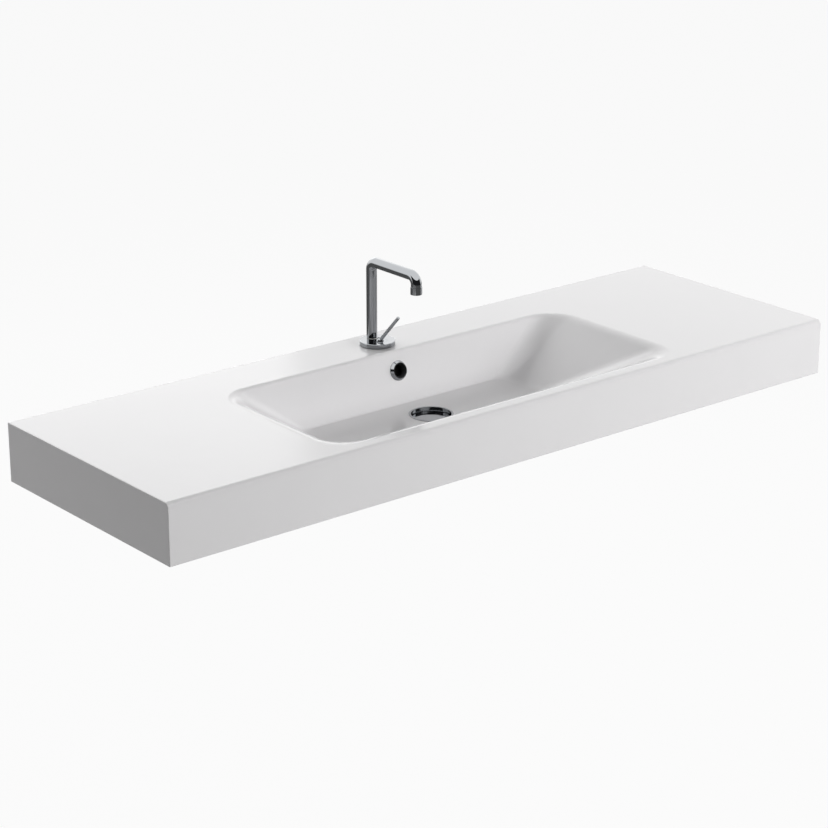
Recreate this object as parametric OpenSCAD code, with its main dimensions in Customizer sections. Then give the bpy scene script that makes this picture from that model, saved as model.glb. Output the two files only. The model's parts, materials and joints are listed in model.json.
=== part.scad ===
// Wall-hung slab washbasin with a slender swivel tap and a push-open waste.
// The origin is the middle of the wall-fixing line on the wall face.
// +X runs along the slab, +Y points into the wall and +Z is up.

/* [Slab] */
// Length of the slab along the wall
slab_w = 1400; // [1200:10:1800]
// Depth of the slab from the wall to the front
slab_d = 450; // [430:5:560]
// Height of the slab's visible edge
slab_h = 100; // [97:1:160]
// Radius of the front top edge
front_edge_r = 9; // [4:0.5:12]
// Thickness of the top of the slab
deck_t = 14; // [11:0.5:16]
// Thickness of the slab's outer walls
apron_t = 14; // [10:0.5:18]

/* [Bowl] */
// Length of the bowl at the rim, where wall and deck would meet without a curve
bowl_w = 732; // [560:2:840]
// Width of the ledge behind the bowl
ledge_w = 106; // [90:1:130]
// Width of the rim in front of the bowl
front_rim_w = 32; // [24:1:50]
// Depth of the bowl below the deck
bowl_depth = 88; // [60:1:90]
// Horizontal run of each sloping end
end_run = 140; // [60:1:180]
// Horizontal run of the steep back wall
back_run = 25; // [12:1:40]
// Horizontal run of the sloping front
front_run = 141; // [90:1:165]
// Curve between floor and ends
end_low_r = 40; // [10:1:50]
// Curve between ends and deck
end_top_r = 45; // [10:1:50]
// Curve between floor and back wall
back_low_r = 4; // [2:0.5:12]
// Curve between back wall and deck
back_top_r = 10; // [8:1:26]
// Curve between front slope and deck
front_top_r = 30; // [10:1:36]
// Back corner radius at the floor
back_corner_low_r = 24; // [20:1:40]
// Back corner radius at the rim
back_corner_top_r = 66; // [50:1:80]
// Front corner radius at the floor
front_corner_low_r = 62; // [40:1:66]
// Front corner radius at the rim
front_corner_top_r = 52; // [40:1:70]
// How late the corners change to their radius at the rim
corner_flare = 4; // [1:0.5:6]
// Thickness of the bowl's walls
bowl_wall_t = 11; // [9:0.5:13]
// Thickness of the bowl's floor
floor_t = 12; // [9:0.5:16]

/* [Underside] */
// Distance of each stiffening rib from the middle
rib_x = 430; // [400:5:520]
// Thickness of each rib
rib_t = 12; // [8:1:16]
// Height by which each rib stays above the slab's lower edge
rib_rise = 12; // [6:1:20]

/* [Wall fixing] */
// Distance between the two wall-fixing holes
fixing_spacing = 1000; // [600:10:1100]
// Radius of a wall-fixing hole
fixing_r = 7; // [5:0.5:8]
// Depth of the fixing holes below the deck's top
fixing_drop = 45; // [32:1:66]
// Radius of the boss behind each hole
fixing_boss_r = 22; // [16:1:24]
// Length of the boss behind each hole, from the wall face
fixing_boss_len = 26; // [20:1:32]

/* [Overflow] */
// Distance from the rim's curve to the overflow ring, down the back wall
overflow_gap = 9; // [0.5:0.1:12]
// Outer radius of the overflow ring
overflow_ring_r = 17.5; // [15:0.5:18]
// Radius of the ring's opening
overflow_bore_r = 10.8; // [8:0.1:11]
// Radius of the ring's mouth at its front
overflow_mouth_r = 13; // [11.5:0.1:14]
// Width of the ring's flat front
overflow_lip = 1.2; // [0.6:0.1:1.8]
// Height of the ring's outer edge
overflow_edge_t = 1.2; // [0.6:0.1:2]
// Thickness of the ring in front of the wall
overflow_ring_t = 6; // [3:0.1:7]
// Radius of the hole in the back wall
overflow_hole_r = 12.6; // [12.2:0.1:14]
// Thickness of the ceramic between bowl and channel
channel_wall_t = 8; // [7:0.5:9]
// Inner depth of the overflow channel
channel_gap = 11; // [8:0.5:16]
// Inner width of the overflow channel
channel_w = 42; // [30:1:60]
// Thickness of the channel's outer skin
channel_skin = 6; // [5:0.5:9]

/* [Waste] */
// Width by which the dish's lip covers the ceramic
lip_w = 1.4; // [1:0.1:5]
// Outer radius of the dish
dish_r = 36.2; // [33:0.1:42]
// Thickness of the dish's metal
dish_t = 1.5; // [1:0.1:2]
// Thickness of the dish's floor
dish_floor_t = 2; // [1:0.1:3]
// Depth of the dish below the bowl's floor
dish_depth = 10.5; // [9:0.5:12]
// Outer radius of the threaded neck
neck_r = 20.95; // [18:0.05:22]
// Thickness of the neck's wall
neck_wall = 2.95; // [2:0.05:4]
// Length of the neck's free end below the backnut
outlet_len = 26; // [15:1:80]
// Thickness of the seal under the dish
flange_seal_t = 2; // [1:0.5:3]
// Gap between the neck and the hole in the ceramic
waste_gap = 2.05; // [1:0.05:4]
// Thickness of the ceramic ledge that carries the dish
ledge_t = 8.5; // [7:0.5:10]
// Wall round the recess for the dish
boss_wall = 10; // [7:1:14]
// Thickness of the tapered gasket under the boss
lower_gasket_t = 5; // [4:0.5:8]
// Thickness of the slip washer
slip_washer_t = 2; // [1:0.5:3]
// Height of the backnut
backnut_h = 10; // [8:1:14]
// Size of the backnut across its corners
backnut_corners = 60; // [54:1:70]

/* [Plug] */
// Gap between the cap and the dish
cap_gap = 1.7; // [0.7:0.1:4]
// Thickness of the cap
cap_t = 3; // [2:0.1:4]
// Thickness of the rubber ring under the cap
plug_seal_t = 1; // [0.6:0.1:1.6]
// Travel of the cap from closed to open
plug_travel = 8; // [5:0.5:12]
// Radius of the plunger rod
plunger_r = 3; // [2.5:0.1:3.5]
// Outer radius of the sleeve that guides the plunger
click_r = 7; // [6.5:0.1:7.5]
// Length of the plug's spring when the cap is closed
spring_len = 9; // [8:0.5:14]
// Wire thickness of the plug's spring
spring_wire = 0.9; // [0.6:0.1:1.1]
// Number of turns of the plug's spring
spring_turns = 4; // [3:1:5]

/* [Tap base] */
// Gap between the shank nut and the overflow channel
nut_gap = 1.9; // [0.5:0.1:12]
// Radius of the base plate
plate_r = 31; // [30:0.5:34]
// Thickness of the base plate
plate_t = 7.5; // [6:0.1:12]
// Thickness of the gasket under the plate
base_gasket_t = 1; // [0.5:0.1:1.5]
// Gap between the shank and the tap hole
shank_gap = 1; // [0.5:0.1:2]
// Radius of the threaded shank
shank_r = 16.5; // [15.5:0.1:18]
// Length of the shank below its nut
shank_tail = 14; // [6:1:40]
// Offset of the shank towards the bowl from the plate's middle
shank_offset = 5; // [3:0.5:6]
// Thickness of the rubber washer under the deck
rubber_washer_t = 2; // [1:0.5:3]
// Thickness of the steel washer under the deck
steel_washer_t = 2; // [1:0.5:3]
// Height of the nut under the deck
shank_nut_h = 10; // [6:1:12]
// Width of the nut and washers round the shank
shank_nut_w = 4; // [3.5:0.5:8]
// Radius of each hose inlet
inlet_r = 4.5; // [4:0.1:5]
// Depth of each hose inlet
inlet_depth = 12; // [8:1:14]
// Distance of each hose inlet from the middle
inlet_x = 6.6; // [5.5:0.1:8]

/* [Lever] */
// Wall between the shank and the cartridge
shank_wall = 1.3; // [0.8:0.1:2]
// Lean of the lever towards the bowl when the tap is shut
lever_lean = 43.5; // [20:0.5:55]
// Angle through which the lever lifts
lever_lift = 25; // [10:1:30]
// Length of the lever from its pivot to its tip
lever_len = 74; // [30:1:120]
// Radius of the lever's rod
lever_rod_r = 3; // [2.3:0.1:4]
// Radius of the lever's ball
ball_r = 6.5; // [5:0.1:7]
// Radius of the cartridge's chamber
chamber_r = 12.7; // [11.5:0.05:14.5]
// Radius of the spindle below the ball
spindle_r = 2.5; // [1.5:0.1:2.8]
// Length of the spindle below the pivot
spindle_len = 14; // [12.5:0.1:18]
// Height of the fixed ceramic disc
disc_t = 3; // [2:0.1:5]

/* [Spout] */
// Wall between the cartridge and the pipe's stub
tap_web = 2.1; // [1.9:0.1:4]
// Outer radius of the pipe
pipe_r = 9.25; // [7.5:0.05:11]
// Thickness of the pipe's wall
pipe_wall = 1.5; // [1:0.05:1.8]
// Height of the pipe's upper run above the deck, to its axis
spout_h = 146; // [110:1:220]
// Reach of the spout from the pipe's axis to the outlet's axis
spout_reach = 121; // [80:1:180]
// Radius of the bends at the pipe's axis
bend_r = 14.5; // [12:0.5:24]
// Straight stretch between the front bend and the collar
outlet_straight = 3.5; // [2:0.5:60]
// Height of the stub that the pipe turns on, above the plate
nipple_h = 18; // [17:0.5:30]
// Radial clearance between turning parts
turn_clear = 0.08; // [0.05:0.01:0.1]
// Width by which the outlet collar stands out from the pipe
collar_step = 0.75; // [0.4:0.05:2]
// Height of the outlet collar
collar_h = 13; // [10:0.5:20]

/* [Hidden] */
// Gap between parts that are seated in holes
seat_clear = 0.3;
// Gap between a thread and what is screwed onto it
thread_clear = 0.05;
// A cut starts this far outside the solid that it cuts
over = 1;
deck_z = fixing_drop;
under_z = deck_z - slab_h;
deck_under_z = deck_z - deck_t;
floor_z = deck_z - bowl_depth;
front_y = -slab_d;

bowl_half = bowl_w / 2;
floor_half = bowl_half - end_run;
floor_back_y = -(ledge_w + back_run);
floor_front_y = front_y + front_rim_w + front_run;
drain_y = (floor_back_y + floor_front_y) / 2;
end_angle = atan2(bowl_depth, end_run);
back_angle = atan2(bowl_depth, back_run);
front_angle = atan2(bowl_depth, front_run);

// The waste, from the bowl's floor down
plug_floor = floor_z - dish_depth;
dish_foot = plug_floor - dish_floor_t;
recess_z = dish_foot - flange_seal_t;
recess_r = dish_r + 0.4;
boss_r = recess_r + boss_wall;
channel_top_z = recess_z - ledge_t;
channel_low_z = channel_top_z - channel_gap;
boss_z = channel_low_z - channel_skin;
gasket_low = boss_z - lower_gasket_t;
washer_low = gasket_low - slip_washer_t;
backnut_low = washer_low - backnut_h;
neck_low = backnut_low - outlet_len;
neck_bore_r = neck_r - neck_wall;
waste_hole_r = neck_r + waste_gap;
dish_inner_r = dish_r - dish_t;
lip_t = 0.8;
lip_r = recess_r + lip_w;
slot_w = 24;
// Groove that ends the outlet's thread under the backnut
relief_w = 2;
relief_depth = 1;

// The plug and the sleeve that holds it
cap_r = dish_inner_r - cap_gap;
cap_rest = 0.2;
cap_low = plug_floor + cap_rest + plug_seal_t;
cap_boss_h = 4;
cap_hole = 0.5;
spider_top = plug_floor - 6.5;
spider_h = 5;
spider_t = 3;
hub_r = click_r + 3;
click_flange_t = 1.5;
click_wall = 1.5;
click_chamber_r = click_r - click_wall;
click_chamber_top = spider_top - 8;
plunger_foot_t = 2;
plunger_foot_z = click_chamber_top - plug_travel - 9;
spring_top = plunger_foot_z - plunger_foot_t;
spring_low = spring_top - spring_len;
click_low = spring_low - 2;

// The overflow
overflow_drop = back_top_r * (1 - cos(back_angle)) + overflow_ring_r * sin(back_angle) + overflow_gap;
overflow_z = deck_z - overflow_drop;
channel_head_z = overflow_z + overflow_hole_r + 1;
skin_head_z = channel_head_z + channel_skin - 2;
channel_w_out = channel_w + 2 * channel_skin;
channel_depth_out = channel_wall_t + channel_gap + channel_skin;

// The tap, from the overflow channel back to the wall
shank_nut_r = shank_r + shank_nut_w;
shank_y = floor_back_y + (skin_head_z - floor_z) / tan(back_angle) + channel_depth_out + nut_gap + shank_nut_r;
tap_y = shank_y + shank_offset;
tap_hole_r = shank_r + shank_gap;
lever_y = shank_y - (shank_r - shank_wall - chamber_r);
plate_z = deck_z + base_gasket_t;
plate_top = plate_z + plate_t;
plate_edge = 1.2;
rubber_washer_low = deck_under_z - rubber_washer_t;
steel_washer_low = rubber_washer_low - steel_washer_t;
shank_nut_low = steel_washer_low - shank_nut_h;
shank_low = shank_nut_low - shank_tail;

// The cartridge, from the lever's cover down
cover_t = 2;
cartridge_nut_t = 4;
seat_flange_t = 1.5;
nut_z = plate_top - cover_t - cartridge_nut_t;
housing_top = nut_z - seat_flange_t;
housing_r = chamber_r - 0.2;
housing_wall = 2.9;
rotor_cavity_r = housing_r - housing_wall;
rotor_r = rotor_cavity_r - turn_clear;
spindle_tilt = lever_lift / 2;
spindle_low = plate_top - spindle_len;
rotor_top = housing_top - 0.2;
rotor_low = spindle_low + 2.8;
carrier_top = rotor_low - 0.3;
carrier_low = spindle_low - 2.4;
socket_low = spindle_low - 0.9;
disc_top = carrier_low - 0.1;
disc_low = disc_top - disc_t;
housing_low = disc_low - 5;
port_r = 2.4;
gallery_r = 1.8;
gallery_z = housing_top - 2.5;
carrier_shift = (plate_top - (carrier_top + spindle_low) / 2) * tan(spindle_tilt);
carrier_r = rotor_cavity_r - carrier_shift - 0.15;
ball_flat = ball_r - 0.9;
ball_socket_r = 2;
ball_socket_depth = 4.5;

// The spout
pipe_bore_r = pipe_r - pipe_wall;
nipple_r = pipe_bore_r - turn_clear;
groove_depth = 1.45;
groove_r = nipple_r - groove_depth;
nipple_bore_r = groove_r - 1.2;
pipe_y = lever_y + chamber_r + tap_web + nipple_r;
outlet_y = pipe_y - spout_reach;
nipple_low = plate_top - 4;
nipple_top = plate_top + nipple_h;
oring_r = 0.72;
oring_groove = 1.8;
oring_heights = [plate_top + 5, plate_top + 10];
glide_t = 0.8;
pipe_foot = plate_top + glide_t + 0.1;
lock_z = nipple_top - 3;
lock_groove = 3.6;
screw_r = 1.25;
pipe_axis_z = deck_z + spout_h;
collar_r = pipe_r + collar_step;
collar_seat = pipe_axis_z - bend_r - outlet_straight;
outlet_z = collar_seat - collar_h;
collar_wall = 1.4;
spigot_r = collar_r - collar_wall;
spigot_low = collar_seat - 6;
collar_sill = 1;
aerator_lip = 1.2;
washer_t = 0.8;

arc_steps = 8;
low_levels = 4;
top_levels = 6;
low_reach = max(end_low_r * (1 - cos(end_angle)), back_low_r * (1 - cos(back_angle)));
top_reach = max(
    end_top_r * (1 - cos(end_angle)),
    back_top_r * (1 - cos(back_angle)),
    front_top_r * (1 - cos(front_angle)));

$fn = 64;

// Horizontal distance of a wall from its foot at height h, with a curve at its foot and at its top
function wall_run(h, angle, low_r, top_r) =
    h < low_r * (1 - cos(angle))
        ? -low_r * tan(angle / 2) + sqrt(max(0, low_r * low_r - pow(low_r - h, 2)))
        : bowl_depth - h < top_r * (1 - cos(angle))
            ? bowl_depth / tan(angle) + top_r * tan(angle / 2)
                - sqrt(max(0, top_r * top_r - pow(top_r - bowl_depth + h, 2)))
            : h / tan(angle);

function end_run_at(h) = wall_run(h, end_angle, end_low_r, end_top_r);
function back_run_at(h) = wall_run(h, back_angle, back_low_r, back_top_r);
function front_run_at(h) = wall_run(h, front_angle, end_low_r, front_top_r);

// Share of the corners' change of radius that is reached at height h
function spread_at(h) =
    pow((end_run_at(h) - end_run_at(0)) / (end_run_at(bowl_depth) - end_run_at(0)), corner_flare);

// Y of the back wall's straight part at height z
function back_wall_y(z) = floor_back_y + (z - floor_z) / tan(back_angle);

// Outline of a box with round corners, counter-clockwise from the right back corner
function round_outline(half, y_low, y_high, r_low, r_high, z) = [
    for (corner = [0:3])
        let (
            sx = corner == 0 || corner == 3 ? 1 : -1,
            back = corner < 2,
            r = back ? r_high : r_low,
            cx = sx * (half - r),
            cy = back ? y_high - r : y_low + r)
        for (i = [0:arc_steps])
            let (a = 90 * corner + 90 * i / arc_steps)
            [cx + r * cos(a), cy + r * sin(a), z]];

// Heights above the floor at which the bowl's outline is drawn, closer together in the curves
heights = concat(
    [for (i = [0:low_levels]) low_reach * pow(i / low_levels, 2)],
    [for (i = [0:top_levels]) bowl_depth - top_reach * pow(1 - i / top_levels, 2)]);

function bowl_ring(h) = round_outline(
    floor_half + end_run_at(h),
    floor_front_y - front_run_at(h),
    floor_back_y + back_run_at(h),
    front_corner_low_r + (front_corner_top_r - front_corner_low_r) * spread_at(h),
    back_corner_low_r + (back_corner_top_r - back_corner_low_r) * spread_at(h),
    floor_z + h);

// Ring of the bowl's outside, with straight walls, at height z
function shell_ring(z) = round_outline(
    floor_half + (z - floor_z) / tan(end_angle) + bowl_wall_t / sin(end_angle),
    floor_front_y - (z - floor_z) / tan(front_angle) - bowl_wall_t / sin(front_angle),
    back_wall_y(z) + bowl_wall_t / sin(back_angle),
    front_corner_low_r,
    back_corner_low_r + bowl_wall_t,
    z);

// Closed solid through a stack of rings with equal numbers of points
module loft(rings) {
    n = len(rings[0]);
    count = len(rings);
    polyhedron(
        points = [for (ring = rings) each ring],
        faces = concat(
            [[for (i = [0:n - 1]) i]],
            [for (k = [0:count - 2], i = [0:n - 1])
                let (a = k * n + i, b = k * n + (i + 1) % n)
                each [[a, a + n, b], [b, a + n, b + n]]],
            [[for (i = [n - 1:-1:0]) (count - 1) * n + i]]));
}

// Upright ring between two radii
module ring(r_out, r_in, z_low, z_high) {
    translate([0, 0, z_low])
        difference() {
            cylinder(r = r_out, h = z_high - z_low);
            translate([0, 0, -over])
                cylinder(r = r_in, h = z_high - z_low + 2 * over);
        }
}

module rod(r, z_low, z_high) {
    translate([0, 0, z_low])
        cylinder(r = r, h = z_high - z_low);
}

// Prism along X of width w from an outline in the YZ plane
module along_x(w, outline) {
    translate([-w / 2, 0, 0])
        rotate([90, 0, 90])
            linear_extrude(height = w)
                polygon(outline);
}

// Frame at the overflow's middle on the back wall, with its local Z out of the wall
module at_overflow() {
    translate([0, back_wall_y(overflow_z), overflow_z])
        rotate([back_angle, 0, 0])
            children();
}

module at_drain() {
    translate([0, drain_y, 0])
        children();
}

module at_shank() {
    translate([0, shank_y, 0])
        children();
}

module at_cartridge() {
    translate([0, lever_y, 0])
        children();
}

module at_pipe() {
    translate([0, pipe_y, 0])
        children();
}

module at_pivot() {
    translate([0, lever_y, plate_top])
        children();
}

module at_outlet() {
    translate([0, outlet_y, 0])
        children();
}

module slab_block() {
    difference() {
        translate([-slab_w / 2, front_y, under_z])
            cube([slab_w, slab_d, slab_h]);
        translate([0, front_y, deck_z])
            rotate([0, 90, 0])
                difference() {
                    cube([2 * front_edge_r, 2 * front_edge_r, slab_w + 2 * over], center = true);
                    translate([front_edge_r, front_edge_r, 0])
                        cylinder(r = front_edge_r, h = slab_w + 3 * over, center = true);
                }
    }
}

module fixing_bosses() {
    for (side = [-1, 1])
        translate([side * fixing_spacing / 2, 0, 0])
            rotate([90, 0, 0])
                cylinder(r = fixing_boss_r, h = fixing_boss_len);
}

// The space under the deck that is left hollow
module underside_hollow() {
    difference() {
        translate([-slab_w / 2 + apron_t, front_y + apron_t, under_z - over])
            cube([slab_w - 2 * apron_t, slab_d - 2 * apron_t, slab_h - deck_t + over]);
        loft([shell_ring(floor_z - floor_t), shell_ring(deck_z)]);
        for (side = [-1, 1])
            translate([side * rib_x - rib_t / 2, front_y, under_z + rib_rise])
                cube([rib_t, slab_d, slab_h]);
        fixing_bosses();
    }
}

// Outside of the overflow channel and of the boss round the waste
module channel_skin_block() {
    along_x(channel_w_out, [
        [back_wall_y(skin_head_z) + 2, skin_head_z],
        [back_wall_y(skin_head_z) + channel_depth_out, skin_head_z],
        [back_wall_y(boss_z) + channel_depth_out, boss_z],
        [drain_y, boss_z],
        [drain_y, floor_z - 2],
        [floor_back_y, floor_z - 2]]);
    at_drain()
        rod(boss_r, boss_z, floor_z - 2);
}

module channel_space() {
    along_x(channel_w, [
        [back_wall_y(channel_head_z) + channel_wall_t, channel_head_z],
        [back_wall_y(channel_head_z) + channel_wall_t + channel_gap, channel_head_z],
        [back_wall_y(channel_low_z) + channel_wall_t + channel_gap, channel_low_z],
        [drain_y, channel_low_z],
        [drain_y, channel_top_z],
        [back_wall_y(channel_top_z) + channel_wall_t, channel_top_z]]);
}

module bowl_space() {
    loft(concat([for (h = heights) bowl_ring(h)], [[for (p = bowl_ring(bowl_depth)) p + [0, 0, over]]]));
}

module basin() {
    color("white")
        difference() {
            union() {
                difference() {
                    slab_block();
                    underside_hollow();
                }
                channel_skin_block();
            }
            bowl_space();
            channel_space();
            at_drain() {
                rod(recess_r, recess_z, floor_z + over);
                rod(waste_hole_r, boss_z - over, recess_z + over);
            }
            at_overflow()
                rod(overflow_hole_r, -channel_wall_t - 4, over);
            at_shank()
                rod(tap_hole_r, deck_under_z - over, deck_z + over);
            for (side = [-1, 1])
                translate([side * fixing_spacing / 2, over, 0])
                    rotate([90, 0, 0])
                        cylinder(r = fixing_r, h = fixing_boss_len + 2 * over);
        }
}

module overflow_ring() {
    tube_r = overflow_hole_r - seat_clear;
    color("silver")
        at_overflow()
            rotate_extrude()
                polygon([
                    [overflow_bore_r, -channel_wall_t + 1],
                    [tube_r, -channel_wall_t + 1],
                    [tube_r, 0],
                    [overflow_ring_r, 0],
                    [overflow_ring_r, overflow_edge_t],
                    [overflow_mouth_r + overflow_lip, overflow_ring_t],
                    [overflow_mouth_r, overflow_ring_t],
                    [overflow_bore_r, overflow_edge_t]]);
}

// The three ribs and the hub that hold the plug's sleeve
module spider() {
    difference() {
        union() {
            rod(hub_r, spider_top - spider_h, spider_top);
            for (a = [90, 210, 330])
                rotate([0, 0, a])
                    translate([0, -spider_t / 2, spider_top - spider_h])
                        cube([neck_bore_r + neck_wall / 2, spider_t, spider_h]);
        }
        rod(click_r + thread_clear, spider_top - spider_h - over, spider_top + over);
    }
}

module waste_body() {
    color("silver")
        at_drain()
            difference() {
                union() {
                    ring(lip_r, dish_inner_r, floor_z, floor_z + lip_t);
                    ring(dish_r, dish_inner_r, dish_foot, floor_z + lip_t / 2);
                    ring(dish_r, neck_bore_r, dish_foot, plug_floor);
                    ring(neck_r, neck_bore_r, neck_low, plug_floor - dish_floor_t / 2);
                    spider();
                }
                for (side = [-1, 1])
                    translate([0, side * neck_r, (channel_low_z + channel_top_z) / 2])
                        cube([slot_w, 4 * neck_wall, channel_gap - 1], center = true);
                ring(neck_r + over, neck_r - relief_depth, backnut_low - relief_w, backnut_low);
            }
}

module flange_seal() {
    color("dimgray")
        at_drain()
            ring(dish_r - 1, waste_hole_r + 0.5, recess_z, dish_foot);
}

module lower_gasket() {
    color("dimgray")
        at_drain()
            difference() {
                translate([0, 0, gasket_low])
                    cylinder(r1 = neck_r + 7, r2 = neck_r + 10, h = lower_gasket_t);
                rod(neck_r + thread_clear, gasket_low - over, boss_z + over);
            }
}

module slip_washer() {
    color("whitesmoke")
        at_drain()
            ring(neck_r + 7, neck_r + seat_clear, washer_low, gasket_low);
}

module backnut() {
    color("goldenrod")
        at_drain()
            difference() {
                translate([0, 0, backnut_low])
                    cylinder(r = backnut_corners / 2, h = backnut_h, $fn = 6);
                rod(neck_r + thread_clear, backnut_low - over, washer_low + over);
            }
}

// Disc whose upper edge is rounded
module edged_disc(r, edge, z_low, z_high) {
    rod(r - edge, z_low, z_high);
    rod(r, z_low, z_high - edge);
    translate([0, 0, z_high - edge])
        rotate_extrude()
            translate([r - edge, 0])
                circle(r = edge, $fn = 32);
}

module plug_cap() {
    boss_low = cap_low - cap_boss_h;
    color("silver")
        at_drain()
            difference() {
                union() {
                    edged_disc(cap_r, 1, cap_low, cap_low + cap_t);
                    rod(plunger_r + 2.5, boss_low, cap_low + over);
                }
                rod(plunger_r + thread_clear, boss_low - over, cap_low + cap_hole);
            }
}

module plug_seal() {
    color("dimgray")
        at_drain()
            ring(neck_bore_r + 8, neck_bore_r + 2, plug_floor + cap_rest, cap_low);
}

module plug_plunger() {
    color("goldenrod")
        at_drain()
            union() {
                rod(plunger_r, plunger_foot_z - over, cap_low + cap_hole);
                rod(click_chamber_r - 0.25, spring_top, plunger_foot_z);
            }
}

module click_housing() {
    flange_top = spider_top + click_flange_t;
    color("goldenrod")
        at_drain()
            difference() {
                union() {
                    rod(click_r, click_low, spider_top + click_flange_t / 2);
                    rod(click_r + 2, spider_top, flange_top);
                }
                rod(plunger_r + turn_clear, click_chamber_top - over, flange_top + over);
                rod(click_chamber_r, spring_low, click_chamber_top);
            }
}

// Helical wire, drawn as one tube along a coil
module plug_spring() {
    sides = 6;
    per_turn = 16;
    steps = spring_turns * per_turn;
    wire_r = spring_wire / 2;
    coil_r = click_chamber_r - wire_r - seat_clear;
    rise = spring_len - spring_wire;
    rings = [for (k = [0:steps])
        let (a = 360 * k / per_turn, z = spring_low + wire_r + rise * k / steps)
        [for (i = [0:sides - 1])
            let (b = -360 * i / sides, r = coil_r + wire_r * cos(b))
            [r * cos(a), r * sin(a), z + wire_r * sin(b)]]];
    echo(plug_spring_gap = rise / spring_turns - spring_wire);
    color("gray")
        at_drain()
            loft(rings);
}

module tap_body() {
    gallery_start = lever_y + chamber_r - 0.5;
    gallery_run = pipe_y - nipple_bore_r + 2.5 - gallery_start;
    gallery_rise = nipple_low - 0.9 - gallery_z;
    color("silver")
        difference() {
            union() {
                translate([0, tap_y, 0])
                    edged_disc(plate_r, plate_edge, plate_z, plate_top);
                at_shank()
                    rod(shank_r, shank_low, plate_z + over);
            }
            at_cartridge()
                rod(chamber_r, housing_low, plate_top + over);
            at_pipe() {
                rod(nipple_r + thread_clear, nipple_low, plate_top + over);
                rod(nipple_bore_r, nipple_low - 1.6, nipple_low + over);
            }
            translate([0, gallery_start, gallery_z])
                rotate([-atan2(gallery_run, gallery_rise), 0, 0])
                    cylinder(r = gallery_r, h = norm([gallery_run, gallery_rise]));
            for (side = [-1, 1])
                translate([side * inlet_x, shank_y, 0]) {
                    rod(inlet_r, shank_low - over, shank_low + inlet_depth);
                    rod(port_r, shank_low, housing_low + over);
                }
        }
}

module base_gasket() {
    color("dimgray")
        difference() {
            translate([0, tap_y, deck_z])
                cylinder(r = plate_r - 1.5, h = base_gasket_t);
            at_shank()
                rod(tap_hole_r, deck_z - over, plate_z + over);
        }
}

module deck_washer_rubber() {
    color("dimgray")
        at_shank()
            ring(shank_nut_r, shank_r + seat_clear, rubber_washer_low, deck_under_z);
}

module deck_washer_steel() {
    color("gray")
        at_shank()
            ring(shank_nut_r, shank_r + seat_clear, steel_washer_low, rubber_washer_low);
}

module shank_nut() {
    notch = [3, 5];
    color("goldenrod")
        at_shank()
            difference() {
                ring(shank_nut_r, shank_r + thread_clear, shank_nut_low, steel_washer_low);
                for (a = [0:60:300])
                    rotate([0, 0, a])
                        translate([shank_nut_r, 0, shank_nut_low])
                            cube([notch.x, notch.y, shank_nut_h], center = true);
            }
}

module cartridge_housing() {
    color("ivory")
        at_cartridge()
            difference() {
                rod(housing_r, housing_low, housing_top);
                rod(rotor_cavity_r, disc_low, housing_top + over);
                for (side = [-1, 1])
                    translate([side * inlet_x, shank_y - lever_y, 0])
                        rod(port_r, housing_low - over, disc_low + over);
                translate([0, rotor_cavity_r - over, gallery_z])
                    rotate([-90, 0, 0])
                        cylinder(r = gallery_r, h = housing_wall + 2 * over);
            }
}

module ceramic_disc_fixed() {
    color("linen")
        at_cartridge()
            difference() {
                rod(rotor_cavity_r - thread_clear, disc_low, disc_top);
                for (side = [-1, 1])
                    translate([side * inlet_x * 0.6, 2, 0])
                        rod(port_r * 0.6, disc_low - over, disc_top + over);
            }
}

module ceramic_disc_moving() {
    color("linen")
        at_cartridge()
            translate([0, carrier_shift, 0])
                difference() {
                    rod(carrier_r, carrier_low, carrier_top);
                    rod(spindle_r + 0.7, socket_low, carrier_top + over);
                }
}

module cartridge_rotor() {
    slot_half = (plate_top - rotor_low) * tan(spindle_tilt) + spindle_r + 0.4;
    slot_wide = 2 * spindle_r + 0.4;
    rail_gap = 2 * carrier_r + 0.2;
    color("ivory")
        at_cartridge()
            difference() {
                rod(rotor_r, disc_top + 0.1, rotor_top);
                translate([-slot_wide / 2, -slot_half, rotor_low - over])
                    cube([slot_wide, 2 * slot_half, rotor_top - rotor_low + 2 * over]);
                translate([-rail_gap / 2, -rotor_r - over, disc_top - over])
                    cube([rail_gap, 2 * rotor_r + 2 * over, rotor_low - disc_top + over]);
            }
}

module ball_seat() {
    hole_r = (plate_top - housing_top) * tan(spindle_tilt) + spindle_r + 0.5;
    color("ivory")
        at_cartridge()
            difference() {
                union() {
                    rod(housing_r - 0.1, housing_top, nut_z);
                    rod(rotor_cavity_r - 0.6, housing_top, nut_z + cartridge_nut_t);
                }
                rod(hole_r, housing_top - over, nut_z + over);
                translate([0, 0, plate_top])
                    sphere(r = ball_r + seat_clear);
            }
}

module cartridge_nut() {
    color("goldenrod")
        at_cartridge()
            ring(chamber_r - thread_clear, rotor_cavity_r - 0.4, nut_z, nut_z + cartridge_nut_t);
}

module lever_cover() {
    color("silver")
        at_cartridge()
            ring(chamber_r - 0.15, ball_r + seat_clear, plate_top - cover_t, plate_top);
}

module lever_ball() {
    color("silver")
        at_pivot()
            difference() {
                union() {
                    sphere(r = ball_r);
                    rotate([spindle_tilt, 0, 0])
                        rod(spindle_r, -spindle_len / cos(spindle_tilt), 0);
                }
                rotate([lever_lean, 0, 0])
                    union() {
                        rod(ball_r, ball_flat, ball_r + over);
                        rod(ball_socket_r + thread_clear, ball_flat - ball_socket_depth, ball_flat + over);
                    }
            }
}

module lever_rod() {
    color("silver")
        at_pivot()
            rotate([lever_lean, 0, 0])
                union() {
                    rod(ball_socket_r, ball_flat - ball_socket_depth + 0.3, ball_flat + over);
                    rod(lever_rod_r, ball_flat, lever_len - lever_rod_r);
                    translate([0, 0, lever_len - lever_rod_r])
                        sphere(r = lever_rod_r);
                }
}

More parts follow.
